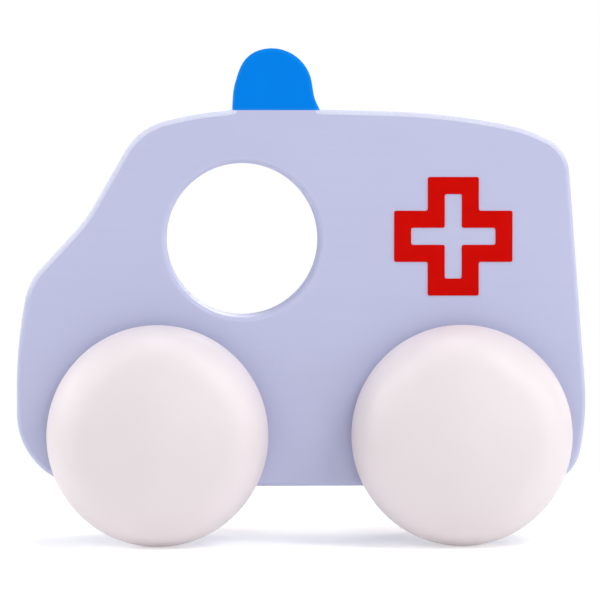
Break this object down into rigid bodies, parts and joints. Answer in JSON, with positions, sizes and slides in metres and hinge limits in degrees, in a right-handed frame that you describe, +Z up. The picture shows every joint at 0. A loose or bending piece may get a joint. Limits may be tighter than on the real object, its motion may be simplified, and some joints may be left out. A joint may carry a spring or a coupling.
{
  "type": "toy ambulance",
  "caption": "Flat wooden push-along toy ambulance with a round grip hole, a roof beacon, outlined crosses and domed wheels on turning axles.",
  "frame": {"origin": "on the floor under the middle of the board, where the wheels stand", "axes": "+Z up, -X toward the nose, -Y toward the left side, +Y along the axles toward the right side"},
  "size_m": [0.1402, 0.065, 0.1222],
  "materials": {
    "body_paint": "satin",
    "beacon_paint": "satin",
    "wheel_paint": "satin",
    "cross_print": "matte",
    "bare_wood": "sanded"
  },
  "bodies": {
    "body": {"body_board": "body_paint", "roof_beacon": "beacon_paint", "beacon_dowels": "bare_wood", "left_cross": "cross_print", "right_cross": "cross_print"},
    "front_wheelset": {"front_axle": "bare_wood", "front_left_wheel": "wheel_paint", "front_right_wheel": "wheel_paint"},
    "rear_wheelset": {"rear_axle": "bare_wood", "rear_left_wheel": "wheel_paint", "rear_right_wheel": "wheel_paint"}
  },
  "joints": [
    {"name": "front_axle_spin", "type": "hinge", "parent": "body", "child": "front_wheelset", "pos_m": [-0.03552, 0, 0.02715], "axis": [0, 1, 0], "continuous": true},
    {"name": "rear_axle_spin", "type": "hinge", "parent": "body", "child": "rear_wheelset", "pos_m": [0.03918, 0, 0.02715], "axis": [0, 1, 0], "continuous": true}
  ]
}
